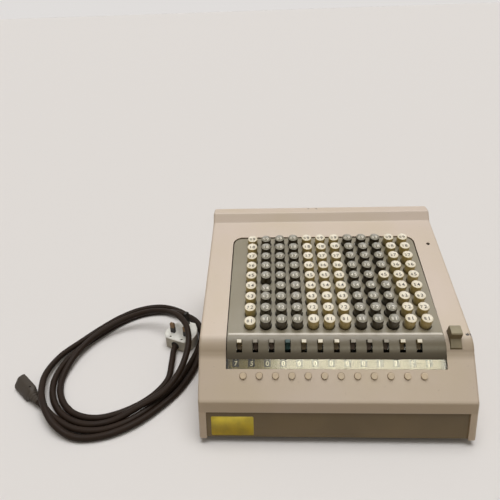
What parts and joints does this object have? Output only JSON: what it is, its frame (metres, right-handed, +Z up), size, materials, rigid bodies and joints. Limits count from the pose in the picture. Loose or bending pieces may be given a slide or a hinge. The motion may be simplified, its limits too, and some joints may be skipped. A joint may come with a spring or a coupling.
{
  "type": "key-driven calculator",
  "caption": "Desk calculator with a sloped full keyboard of round keys, a row of cut-off levers, number wheels behind a clear window, a clear key and a detached mains lead.",
  "frame": {"origin": "on the surface that the feet stand on, under the middle of the case", "axes": "+X to the operator's right along the key rows, +Y to the back of the machine, +Z up"},
  "size_m": [0.5891, 0.299, 0.1667],
  "materials": {
    "cover_paint": "putty stoved enamel on pressed steel, satin, slightly worn at the edges",
    "pan_paint": "grey-brown primer on sheet steel, matte",
    "plate_paint": "taupe enamel on sheet steel, satin",
    "fascia_paint": "dark brown-grey enamel, satin",
    "ivory_plastic": "moulded, polished by use",
    "dark_plastic": "moulded, polished by use",
    "green_plastic": "moulded, polished by use",
    "wheel_plastic": "moulded, with painted numerals in the visual model",
    "window_acrylic": "clear sheet, slightly hazed with age",
    "mask_paint": "dark grey-green, matte",
    "clear_key_plastic": "moulded, satin",
    "button_plastic": "moulded",
    "foot_rubber": "moulded",
    "steel": "turned bright steel",
    "frame_steel": "sheared sheet steel",
    "motor_paint": "dark grey machine paint",
    "inlet_plastic": "moulded",
    "lead_rubber": "black-brown rubber sheath, a little dusty",
    "plug_plastic": "moulded, off-white",
    "pin_brass": "flat pins, dulled"
  },
  "bodies": {
    "machine": {"base_pan": "pan_paint", "top_cover": "cover_paint", "keyboard_plate": "plate_paint", "front_fascia": "fascia_paint", "register_window": "window_acrylic", "register_mask": "mask_paint", "rubber_feet": "foot_rubber", "foot_screws": "steel", "side_frame_left": "frame_steel", "side_frame_right": "frame_steel", "key_guide_plate": "frame_steel", "register_shaft": "steel", "lever_shaft": "steel", "tie_rods": "steel", "drive_motor": "motor_paint", "motor_cradle": "frame_steel", "power_inlet": "inlet_plastic", "mains_lead": "lead_rubber", "lead_connector": "lead_rubber", "lead_plug": "plug_plastic", "lead_plug_pins": "pin_brass"},
    "key_column_1": {"keys_column_1": "ivory_plastic"},
    "key_column_2": {"keys_column_2": "dark_plastic"},
    "key_column_3": {"keys_column_3": "dark_plastic"},
    "key_column_4": {"keys_column_4": "dark_plastic"},
    "key_column_5": {"keys_column_5": "ivory_plastic"},
    "key_column_6": {"keys_column_6": "ivory_plastic"},
    "key_column_7": {"keys_column_7": "ivory_plastic"},
    "key_column_8": {"keys_column_8": "dark_plastic"},
    "key_column_9": {"keys_column_9": "dark_plastic"},
    "key_column_10": {"keys_column_10": "dark_plastic"},
    "key_column_11": {"keys_column_11": "ivory_plastic"},
    "key_column_12": {"keys_column_12": "ivory_plastic"},
    "lever_1": {"cutoff_lever_1": "ivory_plastic"},
    "lever_2": {"cutoff_lever_2": "dark_plastic"},
    "lever_3": {"cutoff_lever_3": "dark_plastic"},
    "lever_4": {"cutoff_lever_4": "green_plastic"},
    "lever_5": {"cutoff_lever_5": "ivory_plastic"},
    "lever_6": {"cutoff_lever_6": "ivory_plastic"},
    "lever_7": {"cutoff_lever_7": "ivory_plastic"},
    "lever_8": {"cutoff_lever_8": "dark_plastic"},
    "lever_9": {"cutoff_lever_9": "dark_plastic"},
    "lever_10": {"cutoff_lever_10": "dark_plastic"},
    "lever_11": {"cutoff_lever_11": "ivory_plastic"},
    "lever_12": {"cutoff_lever_12": "ivory_plastic"},
    "wheel_1": {"number_wheel_1": "wheel_plastic"},
    "wheel_2": {"number_wheel_2": "wheel_plastic"},
    "wheel_3": {"number_wheel_3": "wheel_plastic"},
    "wheel_4": {"number_wheel_4": "wheel_plastic"},
    "wheel_5": {"number_wheel_5": "wheel_plastic"},
    "wheel_6": {"number_wheel_6": "wheel_plastic"},
    "wheel_7": {"number_wheel_7": "wheel_plastic"},
    "wheel_8": {"number_wheel_8": "wheel_plastic"},
    "wheel_9": {"number_wheel_9": "wheel_plastic"},
    "wheel_10": {"number_wheel_10": "wheel_plastic"},
    "wheel_11": {"number_wheel_11": "wheel_plastic"},
    "wheel_12": {"number_wheel_12": "wheel_plastic"},
    "wheel_13": {"number_wheel_13": "wheel_plastic"},
    "clear_bar": {"clear_key": "clear_key_plastic"},
    "decimal_row": {"decimal_buttons": "button_plastic"}
  },
  "joints": [
    {"name": "key_press_1", "type": "slide", "parent": "machine", "child": "key_column_1", "axis": [0, 0.2079, -0.9781], "range_m": [0, 0.007], "stiffness_N_per_m": 600, "springref_m": -0.002},
    {"name": "key_press_2", "type": "slide", "parent": "machine", "child": "key_column_2", "axis": [0, 0.2079, -0.9781], "range_m": [0, 0.007], "stiffness_N_per_m": 600, "springref_m": -0.002},
    {"name": "key_press_3", "type": "slide", "parent": "machine", "child": "key_column_3", "axis": [0, 0.2079, -0.9781], "range_m": [0, 0.007], "stiffness_N_per_m": 600, "springref_m": -0.002},
    {"name": "key_press_4", "type": "slide", "parent": "machine", "child": "key_column_4", "axis": [0, 0.2079, -0.9781], "range_m": [0, 0.007], "stiffness_N_per_m": 600, "springref_m": -0.002},
    {"name": "key_press_5", "type": "slide", "parent": "machine", "child": "key_column_5", "axis": [0, 0.2079, -0.9781], "range_m": [0, 0.007], "stiffness_N_per_m": 600, "springref_m": -0.002},
    {"name": "key_press_6", "type": "slide", "parent": "machine", "child": "key_column_6", "axis": [0, 0.2079, -0.9781], "range_m": [0, 0.007], "stiffness_N_per_m": 600, "springref_m": -0.002},
    {"name": "key_press_7", "type": "slide", "parent": "machine", "child": "key_column_7", "axis": [0, 0.2079, -0.9781], "range_m": [0, 0.007], "stiffness_N_per_m": 600, "springref_m": -0.002},
    {"name": "key_press_8", "type": "slide", "parent": "machine", "child": "key_column_8", "axis": [0, 0.2079, -0.9781], "range_m": [0, 0.007], "stiffness_N_per_m": 600, "springref_m": -0.002},
    {"name": "key_press_9", "type": "slide", "parent": "machine", "child": "key_column_9", "axis": [0, 0.2079, -0.9781], "range_m": [0, 0.007], "stiffness_N_per_m": 600, "springref_m": -0.002},
    {"name": "key_press_10", "type": "slide", "parent": "machine", "child": "key_column_10", "axis": [0, 0.2079, -0.9781], "range_m": [0, 0.007], "stiffness_N_per_m": 600, "springref_m": -0.002},
    {"name": "key_press_11", "type": "slide", "parent": "machine", "child": "key_column_11", "axis": [0, 0.2079, -0.9781], "range_m": [0, 0.007], "stiffness_N_per_m": 600, "springref_m": -0.002},
    {"name": "key_press_12", "type": "slide", "parent": "machine", "child": "key_column_12", "axis": [0, 0.2079, -0.9781], "range_m": [0, 0.007], "stiffness_N_per_m": 600, "springref_m": -0.002},
    {"name": "lever_pull_1", "type": "hinge", "parent": "machine", "child": "lever_1", "pos_m": [-0.1123, -0.07441, 0.08379], "axis": [1, 0, 0], "range_deg": [0, 20], "stiffness_Nm_per_rad": 0.08, "springref_deg": -17.19},
    {"name": "lever_pull_2", "type": "hinge", "parent": "machine", "child": "lever_2", "pos_m": [-0.0933, -0.07441, 0.08379], "axis": [1, 0, 0], "range_deg": [0, 20], "stiffness_Nm_per_rad": 0.08, "springref_deg": -17.19},
    {"name": "lever_pull_3", "type": "hinge", "parent": "machine", "child": "lever_3", "pos_m": [-0.0743, -0.07441, 0.08379], "axis": [1, 0, 0], "range_deg": [0, 20], "stiffness_Nm_per_rad": 0.08, "springref_deg": -17.19},
    {"name": "lever_pull_4", "type": "hinge", "parent": "machine", "child": "lever_4", "pos_m": [-0.0553, -0.07441, 0.08379], "axis": [1, 0, 0], "range_deg": [0, 20], "stiffness_Nm_per_rad": 0.08, "springref_deg": -17.19},
    {"name": "lever_pull_5", "type": "hinge", "parent": "machine", "child": "lever_5", "pos_m": [-0.0363, -0.07441, 0.08379], "axis": [1, 0, 0], "range_deg": [0, 20], "stiffness_Nm_per_rad": 0.08, "springref_deg": -17.19},
    {"name": "lever_pull_6", "type": "hinge", "parent": "machine", "child": "lever_6", "pos_m": [-0.0173, -0.07441, 0.08379], "axis": [1, 0, 0], "range_deg": [0, 20], "stiffness_Nm_per_rad": 0.08, "springref_deg": -17.19},
    {"name": "lever_pull_7", "type": "hinge", "parent": "machine", "child": "lever_7", "pos_m": [0.0017, -0.07441, 0.08379], "axis": [1, 0, 0], "range_deg": [0, 20], "stiffness_Nm_per_rad": 0.08, "springref_deg": -17.19},
    {"name": "lever_pull_8", "type": "hinge", "parent": "machine", "child": "lever_8", "pos_m": [0.0207, -0.07441, 0.08379], "axis": [1, 0, 0], "range_deg": [0, 20], "stiffness_Nm_per_rad": 0.08, "springref_deg": -17.19},
    {"name": "lever_pull_9", "type": "hinge", "parent": "machine", "child": "lever_9", "pos_m": [0.0397, -0.07441, 0.08379], "axis": [1, 0, 0], "range_deg": [0, 20], "stiffness_Nm_per_rad": 0.08, "springref_deg": -17.19},
    {"name": "lever_pull_10", "type": "hinge", "parent": "machine", "child": "lever_10", "pos_m": [0.0587, -0.07441, 0.08379], "axis": [1, 0, 0], "range_deg": [0, 20], "stiffness_Nm_per_rad": 0.08, "springref_deg": -17.19},
    {"name": "lever_pull_11", "type": "hinge", "parent": "machine", "child": "lever_11", "pos_m": [0.0777, -0.07441, 0.08379], "axis": [1, 0, 0], "range_deg": [0, 20], "stiffness_Nm_per_rad": 0.08, "springref_deg": -17.19},
    {"name": "lever_pull_12", "type": "hinge", "parent": "machine", "child": "lever_12", "pos_m": [0.0967, -0.07441, 0.08379], "axis": [1, 0, 0], "range_deg": [0, 20], "stiffness_Nm_per_rad": 0.08, "springref_deg": -17.19},
    {"name": "wheel_turn_1", "type": "hinge", "parent": "machine", "child": "wheel_1", "pos_m": [-0.1175, -0.08628, 0.06978], "axis": [1, 0, 0], "continuous": true},
    {"name": "wheel_turn_2", "type": "hinge", "parent": "machine", "child": "wheel_2", "pos_m": [-0.0985, -0.08628, 0.06978], "axis": [1, 0, 0], "continuous": true},
    {"name": "wheel_turn_3", "type": "hinge", "parent": "machine", "child": "wheel_3", "pos_m": [-0.0795, -0.08628, 0.06978], "axis": [1, 0, 0], "continuous": true},
    {"name": "wheel_turn_4", "type": "hinge", "parent": "machine", "child": "wheel_4", "pos_m": [-0.0605, -0.08628, 0.06978], "axis": [1, 0, 0], "continuous": true},
    {"name": "wheel_turn_5", "type": "hinge", "parent": "machine", "child": "wheel_5", "pos_m": [-0.0415, -0.08628, 0.06978], "axis": [1, 0, 0], "continuous": true},
    {"name": "wheel_turn_6", "type": "hinge", "parent": "machine", "child": "wheel_6", "pos_m": [-0.0225, -0.08628, 0.06978], "axis": [1, 0, 0], "continuous": true},
    {"name": "wheel_turn_7", "type": "hinge", "parent": "machine", "child": "wheel_7", "pos_m": [-0.0035, -0.08628, 0.06978], "axis": [1, 0, 0], "continuous": true},
    {"name": "wheel_turn_8", "type": "hinge", "parent": "machine", "child": "wheel_8", "pos_m": [0.0155, -0.08628, 0.06978], "axis": [1, 0, 0], "continuous": true},
    {"name": "wheel_turn_9", "type": "hinge", "parent": "machine", "child": "wheel_9", "pos_m": [0.0345, -0.08628, 0.06978], "axis": [1, 0, 0], "continuous": true},
    {"name": "wheel_turn_10", "type": "hinge", "parent": "machine", "child": "wheel_10", "pos_m": [0.0535, -0.08628, 0.06978], "axis": [1, 0, 0], "continuous": true},
    {"name": "wheel_turn_11", "type": "hinge", "parent": "machine", "child": "wheel_11", "pos_m": [0.0725, -0.08628, 0.06978], "axis": [1, 0, 0], "continuous": true},
    {"name": "wheel_turn_12", "type": "hinge", "parent": "machine", "child": "wheel_12", "pos_m": [0.0915, -0.08628, 0.06978], "axis": [1, 0, 0], "continuous": true},
    {"name": "wheel_turn_13", "type": "hinge", "parent": "machine", "child": "wheel_13", "pos_m": [0.1105, -0.08628, 0.06978], "axis": [1, 0, 0], "continuous": true},
    {"name": "clear_press", "type": "slide", "parent": "machine", "child": "clear_bar", "axis": [0, 0.2334, -0.9724], "range_m": [0, 0.006], "stiffness_N_per_m": 500, "springref_m": -0.002},
    {"name": "decimal_press", "type": "slide", "parent": "machine", "child": "decimal_row", "axis": [0, 0.7193, -0.6947], "range_m": [0, 0.0015], "stiffness_N_per_m": 800, "springref_m": -0.001}
  ]
}
